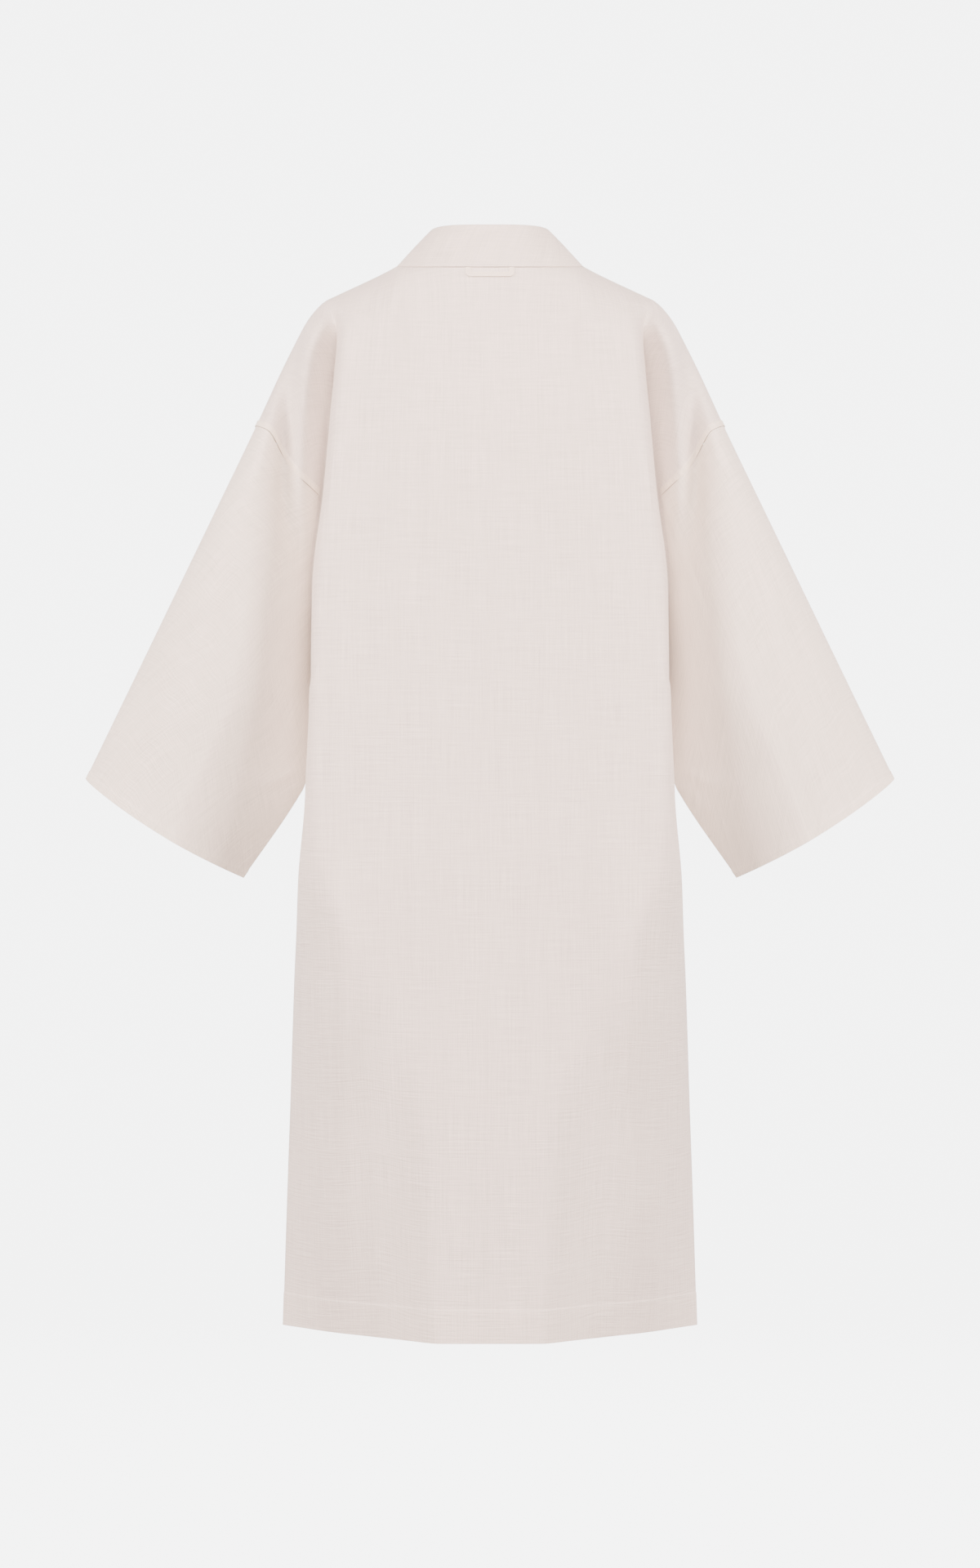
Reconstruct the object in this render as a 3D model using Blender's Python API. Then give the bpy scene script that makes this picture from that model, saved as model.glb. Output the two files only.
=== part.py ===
"""A long open-front kimono shirt in plain linen, filled out as it hangs from a wearer's shoulders.

Metres, +Z up. The front faces -Y, the back +Y, and +X is the wearer's left. The origin is the middle of the
neck opening, level with the side neck points. Sizes and tables here are in millimetres. The left half is
worked out and the right half is its mirror image.

Each side of the garment is a depth over the flat view from behind: so far behind, or in front of, the plane
through the shoulder line and the side seams. A panel is a grid of such points, then a thin wall.
"""
from collections import namedtuple

import bmesh
import bpy
import numpy as np

MM = 0.001

# Cloth
CLOTH = 1.8
BAND_CLOTH = 2.8
SEAM_GAP = 0.3
MITRE_LIMIT = 1.4

# Neck and shoulders
NECK_HALF = 98.7
NECK_DEPTH = 75.0
NECK_DIP = 11.5
NECK_CORNER = 2.6
SHOULDER_FALL = 0.463
SHOULDER_DIP = 1.6
SHOULDER_DIP_RUN = 12.0
SHOULDER_ROUND = 24.0
SWELL = 5.0
SWELL_X = 215.0
SWELL_WIDTH = 26.0
SHOULDER_ROLL = 80.0
NAPE_RUN = 180.0
BACK_KNEE = 150.0
SLOPE_REACH = 20.0
TOP_FADE_POWER = 1.5

# Sleeve and hem
CUFF_TOP_X = 431.2
CUFF_TOP_Z = -546.3
ARM_FALL = 2.055
ARMHOLE_TOP_X = 249.5
UNDERARM = -440.0
ARMHOLE_FOOT = 60.0
ARMHOLE_KNEE = -246.0
TROUGH_FLOOR = 8.0
SEAM_STEP = 8.0
STEP_FADE = 190.0
CUFF_SAG = 4.5
TROUGH_ROUND = 6.0
TROUGH_FADE = 100.0
TROUGH_SHALLOW = 30.0
HEM = -1130.0

# Collar band: the free edge round the back neck, as a share of the neckline, and its height
BAND_SHARE_X = 0.618
BAND_SHARE_Y = 0.747
BAND_TOP_BACK = 36.7
BAND_TOP_SIDE = 39.0

# Hanger loop
LOOP_HALF = 25.2
LOOP_DROP = 10.2
LOOP_WIDTH = 5.0
LOOP_CLOTH = 1.4
LOOP_LIFT = 0.45

# Grid: panels from the middle to the neck point, on to the folded edge, and on to the seam
NECK_COLUMNS = 5
KNEE_COLUMNS = 4
WALL_COLUMNS = 9
TURN_COLUMNS = 7
SIDE_COLUMNS = WALL_COLUMNS + TURN_COLUMNS
ARMHOLE_ROWS = 12
SKIRT_SPACING = 1.45
SLEEVE_SPACING = 1.3
SKIRT_ROWS = 16
TROUGH_ROWS = 9
SLEEVE_ROWS = 12
FINE = 240
SEAM_PASSES = 60
SAME_PLACE = 0.02

# The body at each height: where its folded edge runs, the side seam, how far the side bulges past that seam,
# and for the back and the front their depth, the half-width of the flat part and how square the side is.
Level = namedtuple("Level", "z edge side bulge back back_flat back_square front front_flat front_square")
BODY = [Level(*row) for row in (
    (0, 150, 230, 0, 92, 145, 2.0, 82, 125, 2.0),
    (-50, 151, 200, 0, 98, 146, 2.0, 93, 130, 2.0),
    (-62, 151, 167, 0, 100, 147, 2.0, 96, 133, 2.0),
    (-100, 156, 171, 0, 106, 152, 2.0, 103, 137, 2.0),
    (-168, 162, 177.5, 0, 113, 158, 2.0, 112, 143, 2.0),
    (-246, 168, 179, 0, 117, 165, 2.0, 118, 150, 2.0),
    (-340, 178, 188, 0, 119, 175, 2.0, 121, 158, 2.0),
    (-440, 183, 189, 0, 120, 180, 2.0, 122, 164, 2.0),
    (-452, 183.3, 182, 9, 120, 180, 2.0, 122, 164, 2.0),
    (-480, 183.5, 180.5, 18, 120, 179.5, 2.0, 122, 164, 2.0),
    (-560, 183, 183, 20, 120, 178, 2.0, 122, 161, 2.0),
    (-640, 178, 193.5, 17, 121, 168, 2.0, 122, 148, 2.0),
    (-760, 150, 207.5, 8, 121.5, 110, 1.8, 122, 105, 1.8),
    (-920, 125, 214, 3, 122.5, 64, 1.4, 122.5, 75, 1.5),
    (-1130, 110, 221, 0, 123.4, 56, 1.06, 123, 60, 1.15),
)]

# The shoulder and sleeve at each height: where the fall to the inner side starts, the depth of the crest, the
# roll at the outline, the depth at the armhole's bottom fold, and how round the inner side is.
Arm = namedtuple("Arm", "z crest depth roll inner round")
ARM = [Arm(*row) for row in (
    (-40, 168, 62, 45, 48, 1.3),
    (-62, 176, 68, 45, 46, 1.3),
    (-100, 190, 75, 45, 43, 1.3),
    (-168, 218, 76, 42, 42, 1.3),
    (-246, 250, 76, 38, 40, 1.3),
    (-340, 279, 75, 47, 34, 1.4),
    (-440, 300, 73, 72, 30, 1.8),
    (-560, 316, 66, 92, 30, 2.0),
    (-660, 350, 62, 92, 30, 2.0),
)]

# Seams in the view from behind: the armhole from the shoulder line to the deep fold, the underarm seam from
# the armhole's foot to the cuff, and the front opening.
Place = namedtuple("Place", "x z")
ARMHOLE = [Place(*row) for row in ((231, -182), (219, -206), (210, -217), (199, -231))]
UNDERARM_SEAM = [Place(*row) for row in (
    (189, -440), (194, -446), (195, -458), (195.5, -505), (197, -535), (201, -559), (264, -652), (296.6, -700),
)]
CUFF_UNDER_Z = UNDERARM_SEAM[-2].z
OPENING = [Place(*row) for row in (
    (98.7, 0), (96, -20), (90, -60), (83, -120), (75, -200), (64, -350), (65, -600), (70, -1130),
)]

# The free edge of the band in front: from each point of the front seam, across, forward and up to the edge.
Lie = namedtuple("Lie", "z across forward up")
BAND_FRONT = [Lie(*row) for row in (
    (0, 37.7, 0, 39), (-20, 44, -8, 24), (-60, 48.5, -3, 11), (-120, 50, 0, 5), (-200, 50, 1, 3),
    (-350, 50, 1, 1), (-1130, 50, 0.5, 0),
)]

# Folds: the side they are on, part of the garment, height, half-width, and the run from top to foot.
Fold = namedtuple("Fold", "side part rise width top_x top_z foot_x foot_z bow")
FOLDS = [Fold(*row) for row in (
    ("back", "arm", 8, 17, 182, -66, 203, -310, 10),
    ("back", "arm", -9, 15, 200, -72, 228, -320, 10),
    ("front", "arm", 5, 18, 184, -70, 204, -300, 10),
    ("front", "arm", -5, 17, 202, -80, 230, -310, 10),
    ("back", "body", 13, 30, 150, -560, 170, -1190, 0),
    ("back", "body", -6, 26, 96, -620, 92, -1190, 0),
    ("front", "body", 11, 28, 150, -540, 172, -1190, 0),
    ("front", "body", -5, 24, 108, -600, 112, -1190, 0),
)]
FOLD_START = 0.15
FOLD_END = 0.35
FOLD_SHALLOW = 40.0


def read(table, name, at):
    """Read a column of a table at any height, on a smooth run that never overshoots its rows."""
    rows = sorted(table, key=lambda row: row.z)
    height = np.array([row.z for row in rows], float)
    value = np.array([getattr(row, name) for row in rows], float)
    step = np.diff(height)
    slope = np.diff(value) / step
    tangent = np.zeros(len(value))
    for i in range(1, len(value) - 1):
        if slope[i - 1] * slope[i] > 0:
            near = 2 * step[i] + step[i - 1]
            far = step[i] + 2 * step[i - 1]
            tangent[i] = (near + far) / (near / slope[i - 1] + far / slope[i])
    tangent[0] = slope[0]
    tangent[-1] = slope[-1]
    at = np.clip(np.asarray(at, float), height[0], height[-1])
    i = np.clip(np.searchsorted(height, at) - 1, 0, len(step) - 1)
    t = (at - height[i]) / step[i]
    rise = value[i + 1] - value[i]
    start = tangent[i] * step[i]
    end = tangent[i + 1] * step[i]
    return value[i] + t * (start + t * (3 * rise - 2 * start - end + t * (start + end - 2 * rise)))


def soft_max(a, b, reach):
    """The larger of two values, rounded where they meet."""
    near = np.clip(reach - np.abs(a - b), 0, None)
    return np.maximum(a, b) + near * near / (4 * np.maximum(reach, 1e-6))


def quarter(share):
    """Height of a quarter circle over its share of the way in."""
    share = np.clip(share, 0, 1)
    return np.sqrt(share * (2 - share))


def ease(share):
    share = np.clip(share, 0, 1)
    return share * share * (3 - 2 * share)


def neckline(x):
    """How far the back neckline lies behind the side neck points."""
    share = np.clip(np.abs(x) / NECK_HALF, 0, 1)
    return NECK_DEPTH * np.sqrt(1 - share ** NECK_CORNER)


def outline(x):
    """Height of the shoulder line and then of the sleeve's top edge, seen from behind."""
    run = np.clip(x - NECK_HALF, 0, None)
    shoulder = SHOULDER_FALL * run + SHOULDER_DIP * (1 - np.exp(-run / SHOULDER_DIP_RUN))
    arm = -CUFF_TOP_Z - ARM_FALL * (CUFF_TOP_X - x)
    swell = SWELL * np.exp(-((x - SWELL_X) / SWELL_WIDTH) ** 2)
    return swell - soft_max(shoulder, arm, SHOULDER_ROUND)


def top_edge(side, x):
    return outline(x) - (NECK_DIP * neckline(x) / NECK_DEPTH if side == "back" else 0)


def inset(side, x, z):
    """Distance in from the top outline."""
    slope = (outline(x + SLOPE_REACH) - outline(x - SLOPE_REACH)) / (2 * SLOPE_REACH)
    return np.clip(top_edge(side, x) - z, 0, None) / np.sqrt(1 + slope * slope)


def folds(side, part, x, z):
    """Height of the soft folds of one part of the garment."""
    total = np.zeros(np.broadcast(x, z).shape)
    for fold in FOLDS:
        if (fold.side, fold.part) != (side, part):
            continue
        t = (z - fold.top_z) / (fold.foot_z - fold.top_z)
        middle = fold.top_x + t * (fold.foot_x - fold.top_x) + fold.bow * 4 * t * (1 - t)
        ends = ease(t / FOLD_START) * ease((1 - t) / FOLD_END)
        total = total + fold.rise * ends * np.exp(-((x - middle) / fold.width) ** 2)
    return total


def body_depth(side, x, z):
    """Depth of the body of the garment, from its flat part over the folded edge to the side."""
    full = read(BODY, side, z)
    flat = read(BODY, side + "_flat", z)
    square = read(BODY, side + "_square", z)
    half = read(BODY, "side", z) + read(BODY, "bulge", z)
    share = np.clip((x - flat) / (half - flat), 0, 1)
    full = full * (1 - share ** square) ** (1 / square)
    full = full + folds(side, "body", x, z) * np.clip(full / FOLD_SHALLOW, 0, 1)
    rolled = quarter(inset(side, x, z) / SHOULDER_ROLL)
    if side == "front":
        return full * rolled
    nape = np.clip(inset(side, x, z) / NAPE_RUN, 0, 1)
    nape = nape * (2 - nape)
    over = np.clip(np.abs(x) / NECK_HALF, 0, 1) ** 2
    start = neckline(x)
    return start + (full - start) * (over * rolled + (1 - over) * nape)


def fold_foot(side, z):
    """Depth and place of the armhole where it runs down inside the deep fold, round at its foot."""
    deep = read(ARM, "inner", z) * quarter((z - UNDERARM) / ARMHOLE_FOOT)
    flat = read(BODY, side + "_flat", z)
    square = read(BODY, side + "_square", z)
    half = read(BODY, "side", z)
    share = (1 - (deep / read(BODY, side, z)) ** square) ** (1 / square)
    floor = TROUGH_FLOOR * quarter((z - UNDERARM) / ARMHOLE_FOOT)
    return deep, flat + (half - flat) * share + floor


def arm_depth(side, x, z):
    """Depth of the shoulder end and the sleeve: round at the outline, falling to the inner side."""
    deep, inner = fold_foot(side, z)
    inner = np.where(z < UNDERARM, read(UNDERARM_SEAM, "x", z), inner)
    crest = read(ARM, "crest", z)
    full = read(ARM, "depth", z)
    share = np.clip((crest - x) / (crest - inner), 0, 1)
    full = deep + (full - deep) * (1 - share ** 2) ** (1 / read(ARM, "round", z))
    full = full + folds(side, "arm", x, z) * np.clip(full / FOLD_SHALLOW, 0, 1)
    return full * quarter(inset(side, x, z) / read(ARM, "roll", z))


def depth(side, part, x, z):
    """Depth of the cloth on one side; above the underarm the body and the sleeve run into each other."""
    body = body_depth(side, x, z)
    arm = arm_depth(side, x, z)
    own = body if part == "body" else arm
    reach = TROUGH_ROUND * np.clip((z - UNDERARM) / TROUGH_FADE, 0, 1)
    reach = reach * np.clip(np.maximum(body, arm) / TROUGH_SHALLOW, 0, 1)
    return np.where(z > UNDERARM, soft_max(body, arm, reach), own)


def cloth_points(side, part, x, z):
    """Points in the middle of the cloth for places in the view from behind."""
    x = np.asarray(x, float)
    z = np.asarray(z, float)
    y = depth(side, part, x, z)
    if part == "body":
        share = np.clip(1 - y / read(BODY, side, z), 0, 1)
        x = x - read(BODY, "bulge", z) * share ** 2
    return np.stack([x, y if side == "back" else -y, z], axis=-1)


def length_along(points):
    return np.concatenate([[0], np.cumsum(np.linalg.norm(np.diff(points, axis=0), axis=1))])


def spread(points, count, carried=None):
    """Points at even distances along a line of close points, or what they carry at those places."""
    run = length_along(points)
    places = np.linspace(0, run[-1], count + 1)
    values = points if carried is None else carried
    return np.stack([np.interp(places, run, values[:, k]) for k in range(values.shape[1])], axis=-1)


def seam_place(side, z):
    """Where the armhole seam runs down, just past the deep fold on its sleeve side."""
    return fold_foot(side, z)[1] + SEAM_STEP * ease((z - UNDERARM) / STEP_FADE)


def armhole(side):
    """The armhole seam from the shoulder line down to the underarm, as close points in the view."""
    drop = np.sin(np.linspace(0, np.pi / 2, FINE))
    low = ARMHOLE_KNEE + (UNDERARM - ARMHOLE_KNEE) * drop
    shoulder = Place(ARMHOLE_TOP_X, float(outline(ARMHOLE_TOP_X)))
    upper = [shoulder] + ARMHOLE + [Place(float(seam_place(side, ARMHOLE_KNEE)), ARMHOLE_KNEE)]
    corner = np.linspace(0, len(upper) - 1, FINE)
    x = np.interp(corner, range(len(upper)), [place.x for place in upper])
    z = np.interp(corner, range(len(upper)), [place.z for place in upper])
    for _ in range(SEAM_PASSES):
        x[1:-1] = (x[:-2] + 2 * x[1:-1] + x[2:]) / 4
        z[1:-1] = (z[:-2] + 2 * z[1:-1] + z[2:]) / 4
    x = np.concatenate([x[:-1], seam_place(side, low)])
    z = np.concatenate([z[:-1], low])
    return spread(cloth_points(side, "body", x, z), FINE, np.stack([x, z], axis=-1))


def rolled(start, radius, share):
    """Height after a share of the way from the shoulder line, over its round, down to the underarm."""
    round_run = radius * np.pi / 2
    run = share * (round_run + start - radius - UNDERARM)
    if run < round_run:
        return start - radius * (1 - np.cos(run / radius))
    return start - radius - (run - round_run)


def row_knots(side, row, seam):
    """The places that a row of a panel passes: the middle, the neck point, the folded edge and the seam."""
    share = min(row / ARMHOLE_ROWS, 1)
    if row <= ARMHOLE_ROWS:
        middle = -NECK_DIP + (UNDERARM + NECK_DIP) * share
        neck = rolled(0, SHOULDER_ROLL, share)
        edge = rolled(float(outline(BACK_KNEE)), SHOULDER_ROLL, share)
        end = seam[int(round(share * FINE))]
    else:
        level = (row - ARMHOLE_ROWS) / SKIRT_ROWS
        middle = neck = edge = UNDERARM + (HEM - UNDERARM) * level ** SKIRT_SPACING
        end = (float(read(BODY, "side", edge) + read(BODY, "bulge", edge)), edge)
    edge_x = float(read(BODY, "edge", edge))
    knots = [(edge_x, edge), tuple(end)]
    if side == "front":
        return [(float(read(OPENING, "x", neck)), neck)] + knots
    return [(0, middle), (NECK_HALF * min(edge_x / BACK_KNEE, 1), neck)] + knots


def spread_by_trough(side, row, x, z, points):
    """Points from the folded edge to the seam, with one line of them along the bottom of the deep fold."""
    run = length_along(points)
    bottom = fold_foot(side if row else "back", z)[1] - TROUGH_FLOOR / 2
    share = run[np.argmin(np.abs(x - bottom))] / run[-1]
    even = WALL_COLUMNS / SIDE_COLUMNS
    share = even if row >= ARMHOLE_ROWS else min(share, 1 - (1 - even) * ease((row - 1) / TROUGH_ROWS))
    split = int(np.searchsorted(run, share * run[-1]))
    wall = spread(points[:split + 1], WALL_COLUMNS)
    turn = spread(points[split:], TURN_COLUMNS)
    return np.concatenate([wall, turn[1:]])


def half_panel(side):
    """Rows of points of the left half of a panel, from its top edge to the hem."""
    seam = armhole(side)
    spans = [NECK_COLUMNS, KNEE_COLUMNS, SIDE_COLUMNS][-2 if side == "front" else 0:]
    first = row_knots(side, 0, seam)
    rows = []
    for row in range(ARMHOLE_ROWS + SKIRT_ROWS + 1):
        knots = row_knots(side, row, seam)
        fade = max(0, 1 - row / ARMHOLE_ROWS) ** TOP_FADE_POWER
        line = []
        for k, columns in enumerate(spans):
            t = np.linspace(0, 1, FINE + 1)
            x = knots[k][0] + t * (knots[k + 1][0] - knots[k][0])
            z = knots[k][1] + t * (knots[k + 1][1] - knots[k][1])
            top_x = first[k][0] + t * (first[k + 1][0] - first[k][0])
            top_z = first[k][1] + t * (first[k + 1][1] - first[k][1])
            z = z + fade * (top_edge(side, top_x) - top_z)
            points = cloth_points(side, "body", x, z)
            if columns == SIDE_COLUMNS:
                points = spread_by_trough(side, row, x, z, points)
            else:
                points = spread(points, columns)
            line.append(points[(1 if k else 0):])
        rows.append(np.concatenate(line))
    return np.array(rows)


def half_sleeve(side):
    """Rings of points of one side of the left sleeve, from its top edge to its underarm seam."""
    seam = armhole(side)
    t = np.linspace(0, 1, FINE + 1)
    bend = seam - (seam[0] + t[:, None] * (seam[-1] - seam[0]))
    under_z = np.linspace(UNDERARM, CUFF_UNDER_Z, FINE + 1)
    under = spread(np.stack([read(UNDERARM_SEAM, "x", under_z), under_z], axis=-1), FINE)
    rings = []
    for row in range(SLEEVE_ROWS + 1):
        s = (row / SLEEVE_ROWS) ** SLEEVE_SPACING
        top_x = seam[0][0] + s * (CUFF_TOP_X - seam[0][0])
        top = np.array([top_x, float(outline(top_x))])
        foot = under[int(round(s * FINE))]
        line = top + t[:, None] * (foot - top) + (1 - s) ** 2 * bend
        across = (foot - top) / np.linalg.norm(foot - top)
        down = np.array([-across[1], across[0]])
        line = line + s * CUFF_SAG * (4 * t * (1 - t))[:, None] * down
        ring = cloth_points(side, "arm", line[:, 0], line[:, 1])
        rings.append(spread(ring, ARMHOLE_ROWS) if row else ring[::FINE // ARMHOLE_ROWS])
    return np.array(rings)


def mirrored(grid):
    """The right-hand twin of a left-hand grid."""
    return grid[:, ::-1] * np.array([-1, 1, 1])


def band_grid(back, front):
    """The collar band: up the left front edge, round the back neck and down the right front edge."""
    up = front[::-1, -1]
    nape = back[0, :NECK_COLUMNS][::-1]
    across, forward, rise = (read(BAND_FRONT, name, up[:, 2]) for name in ("across", "forward", "up"))
    up_free = up + np.stack([-across, -forward, rise], axis=-1)
    top = BAND_TOP_BACK + (BAND_TOP_SIDE - BAND_TOP_BACK) * (nape[:, 0] / NECK_HALF) ** 2
    nape_free = np.stack([nape[:, 0] * BAND_SHARE_X, nape[:, 1] * BAND_SHARE_Y, top], axis=-1)
    seam = np.concatenate([up, nape])
    free = np.concatenate([up_free, nape_free])
    left = np.stack([seam, (seam + free) / 2, free])
    return np.concatenate([left, mirrored(left)[:, 1:]], axis=1)


def face_normals(grid):
    """Unit normals at the points of a grid, from the faces around them."""
    across = grid[:-1, 1:] - grid[1:, :-1]
    down = grid[1:, 1:] - grid[:-1, :-1]
    face = np.cross(across, down)
    total = np.zeros(grid.shape)
    for i in (0, 1):
        for j in (0, 1):
            total[i:len(grid) - 1 + i, j:len(grid[0]) - 1 + j] += face
    return total


def key(point):
    """One name for all points that lie at the same place."""
    return tuple(np.round(point / SAME_PLACE).astype(int))


def unit(vectors):
    return vectors / np.maximum(np.linalg.norm(vectors, axis=-1, keepdims=True), 1e-9)


def seam_offsets(grids):
    """The way out at each point, shared by the pieces on both sides of a seam, so that walls meet as a mitre."""
    normals = {}
    for grid in grids.values():
        own = unit(face_normals(grid))
        for point, normal in zip(grid.reshape(-1, 3), own.reshape(-1, 3)):
            normals.setdefault(key(point), []).append(normal)
    shared = {}
    for place, found in normals.items():
        total = np.sum(found, axis=0)
        length = np.linalg.norm(total)
        shared[place] = total / length * np.clip(len(found) / length, 1, MITRE_LIMIT)
    return shared


def draw_back(grid, offset, edges):
    """Move the sewn edges of a grid back by half the gap of a seam."""
    lines = {
        "top": (np.s_[0, :], np.s_[1, :]), "foot": (np.s_[-1, :], np.s_[-2, :]),
        "first": (np.s_[:, 0], np.s_[:, 1]), "last": (np.s_[:, -1], np.s_[:, -2]),
    }
    moved = grid.copy()
    for name in edges:
        edge, inside = lines[name]
        line = grid[edge]
        if np.allclose(line[0], line[-1]):
            along = np.gradient(np.concatenate([line[-2:-1], line, line[1:2]]), axis=0)[1:-1]
        else:
            along = np.gradient(line, axis=0)
        away = unit(np.cross(along, offset[edge]))
        inward = np.sign(np.sum(away * (grid[inside] - line), axis=-1, keepdims=True))
        moved[edge] += away * inward * SEAM_GAP / 2
    return moved


def linen(name, colour, roughness):
    material = bpy.data.materials.new(name)
    material.use_nodes = True
    shader = material.node_tree.nodes["Principled BSDF"]
    shader.inputs["Base Color"].default_value = (*colour, 1)
    shader.inputs["Roughness"].default_value = roughness
    shader.inputs["Metallic"].default_value = 0
    return material


def wall_faces(grid, shared, wall, edges):
    """The inner and the outer face of a piece of cloth, as two grids, set back from its seams."""
    offset = np.array([[shared[key(point)] for point in row] for row in grid])
    middle = draw_back(grid, offset, edges)
    return middle - offset * wall / 2, middle + offset * wall / 2


def loop_faces(back_face):
    """The two faces of the hanger loop, laid on the outer face of the back just under the neck seam."""
    middle = SIDE_COLUMNS + KNEE_COLUMNS + NECK_COLUMNS
    cells = back_face[:2, middle - 1:middle + 2]
    width = cells[0, 2, 0]
    normal = unit(np.cross(cells[0, 2] - cells[0, 0], cells[1, 1] - cells[0, 1]))
    lines = []
    for half, low in ((LOOP_HALF, LOOP_DROP), (LOOP_HALF - LOOP_WIDTH, LOOP_DROP - LOOP_WIDTH)):
        line = []
        for x, deep in ((-half, SEAM_GAP), (-half, low), (0, low), (half, low), (half, SEAM_GAP)):
            across = x / width + 1
            cell = min(int(across), 1)
            share = across - cell
            upper = cells[0, cell] * (1 - share) + cells[0, cell + 1] * share
            lower = cells[1, cell] * (1 - share) + cells[1, cell + 1] * share
            line.append(upper + (lower - upper) * deep / (upper[2] - lower[2]))
        lines.append(line)
    strip = np.array(lines)
    return strip + normal * LOOP_LIFT, strip + normal * (LOOP_LIFT + LOOP_CLOTH)


def crease_rim(face, grown):
    """Part a face of a rim the same way as the rim that faces it across the seam."""
    inner = [vert for vert in face.verts if vert not in grown]
    outer = [vert for vert in face.verts if vert in grown]
    inner.sort(key=lambda vert: vert.co.z)
    joined = [edge.other_vert(inner[1]) for edge in inner[1].link_edges]
    low = [vert for vert in outer if vert not in joined]
    bmesh.utils.face_split(face, inner[1], low[0])


def crease(face):
    """Part a four-sided face along the diagonal that suits the cloth around it."""
    corners = face.verts[:]
    fits = []
    for k in (0, 1):
        a, b, c, d = (corners[(k + i) % 4] for i in range(4))
        fit = 0
        for side in ((a, b, c), (c, d, a)):
            flat = (side[1].co - side[0].co).cross(side[2].co - side[0].co).normalized()
            fit += min(flat.dot(vert.normal) for vert in side)
        fits.append(fit)
    k = int(fits[1] > fits[0] + 1e-6)
    bmesh.utils.face_split(face, corners[k], corners[k + 2])


def cloth_piece(name, faces, material):
    """One closed piece of cloth between its two faces."""
    inner, outer = ((face * MM).reshape(-1, 3) for face in faces)
    rows, columns = faces[0].shape[:2]
    mesh = bpy.data.meshes.new(name)
    bm = bmesh.new()
    bmesh.ops.create_grid(bm, x_segments=columns - 1, y_segments=rows - 1, size=1)
    place = bm.verts.layers.int.new("place")
    for i, vert in enumerate(bm.verts):
        vert[place] = i
        vert.co = inner[i]
    bmesh.ops.remove_doubles(bm, verts=bm.verts, dist=1e-6)
    grown = bmesh.ops.extrude_face_region(bm, geom=bm.faces[:], use_keep_orig=True)["geom"]
    grown = {element for element in grown if isinstance(element, bmesh.types.BMVert)}
    for vert in grown:
        vert.co = outer[vert[place]]
    bmesh.ops.recalc_face_normals(bm, faces=bm.faces)
    bm.normal_update()
    for face in bm.faces[:]:
        if len(grown.intersection(face.verts)) == 2:
            crease_rim(face, grown)
        else:
            crease(face)
    bm.to_mesh(mesh)
    bm.free()
    mesh.shade_smooth()
    mesh.materials.append(material)
    piece = bpy.data.objects.new(name, mesh)
    bpy.context.collection.objects.link(piece)
    return piece


def build():
    for old in list(bpy.data.objects):
        bpy.data.objects.remove(old)

    left_back = half_panel("back")
    back = np.concatenate([mirrored(left_back), left_back[:, 1:]], axis=1)
    front = half_panel("front")[:, ::-1]
    sleeve_back = half_sleeve("back")
    sleeve_front = half_sleeve("front")
    sleeve = np.concatenate([sleeve_front, sleeve_back[:, ::-1][:, 1:]], axis=1)
    grids = {
        "back": back,
        "front_left": front,
        "front_right": mirrored(front),
        "sleeve_left": sleeve,
        "sleeve_right": mirrored(sleeve),
        "collar_band": band_grid(left_back, front),
    }
    shared = seam_offsets(grids)
    body_cloth = linen("linen_body", (0.80, 0.75, 0.72), 0.9)
    sleeve_cloth = linen("linen_sleeve", (0.79, 0.75, 0.70), 0.9)
    band_cloth = linen("linen_band", (0.82, 0.76, 0.72), 0.9)
    cut = {
        "back": (CLOTH, ("top", "first", "last"), body_cloth),
        "front_left": (CLOTH, ("top", "first", "last"), body_cloth),
        "front_right": (CLOTH, ("top", "first", "last"), body_cloth),
        "sleeve_left": (CLOTH, ("top",), sleeve_cloth),
        "sleeve_right": (CLOTH, ("top",), sleeve_cloth),
        "collar_band": (BAND_CLOTH, ("top",), band_cloth),
    }
    for name, (wall, edges, material) in cut.items():
        faces = wall_faces(grids[name], shared, wall, edges)
        cloth_piece(name, faces, material)
        if name == "back":
            cloth_piece("hanger_loop", loop_faces(faces[1]), band_cloth)


build()
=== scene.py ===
"""The looks of a long open-front kimono shirt in plain linen, filled out as on a wearer's shoulders.

The front faces -Y, the back +Y and +X is the wearer's left. Sizes are in millimetres. The left half is
worked out and the right half is its mirror image. Each side of the garment is a depth over the flat view
from behind.
"""

from collections import namedtuple
import math

import bmesh
import bpy
import numpy as np
from mathutils import Matrix, Vector


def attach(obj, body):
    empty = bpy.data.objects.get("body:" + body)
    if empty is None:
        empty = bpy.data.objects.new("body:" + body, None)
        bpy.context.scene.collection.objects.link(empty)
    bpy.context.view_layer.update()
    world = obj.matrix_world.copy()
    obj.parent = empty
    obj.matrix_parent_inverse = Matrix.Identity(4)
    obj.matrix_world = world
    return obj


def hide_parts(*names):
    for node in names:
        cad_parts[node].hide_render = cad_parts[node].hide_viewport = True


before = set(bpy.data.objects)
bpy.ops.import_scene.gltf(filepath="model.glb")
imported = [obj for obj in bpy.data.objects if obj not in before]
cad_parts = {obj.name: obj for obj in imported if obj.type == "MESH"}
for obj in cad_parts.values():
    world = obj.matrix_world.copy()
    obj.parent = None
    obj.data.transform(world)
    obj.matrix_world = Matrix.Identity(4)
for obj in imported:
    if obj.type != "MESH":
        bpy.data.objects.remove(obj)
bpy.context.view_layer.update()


# Back panel
#
# One width of linen with no centre seam, cut straight down from wide shoulders to the hem. The upper edge
# is joined to the band at the nape and to the fronts along the shoulders. Below the underarm it falls in
# one long ridge and one hollow on each side, and beside the armhole a deep fold parts it from the sleeve.

MM = 0.001
CLOTH = 0.8
SEAM_GAP = 0.3

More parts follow.
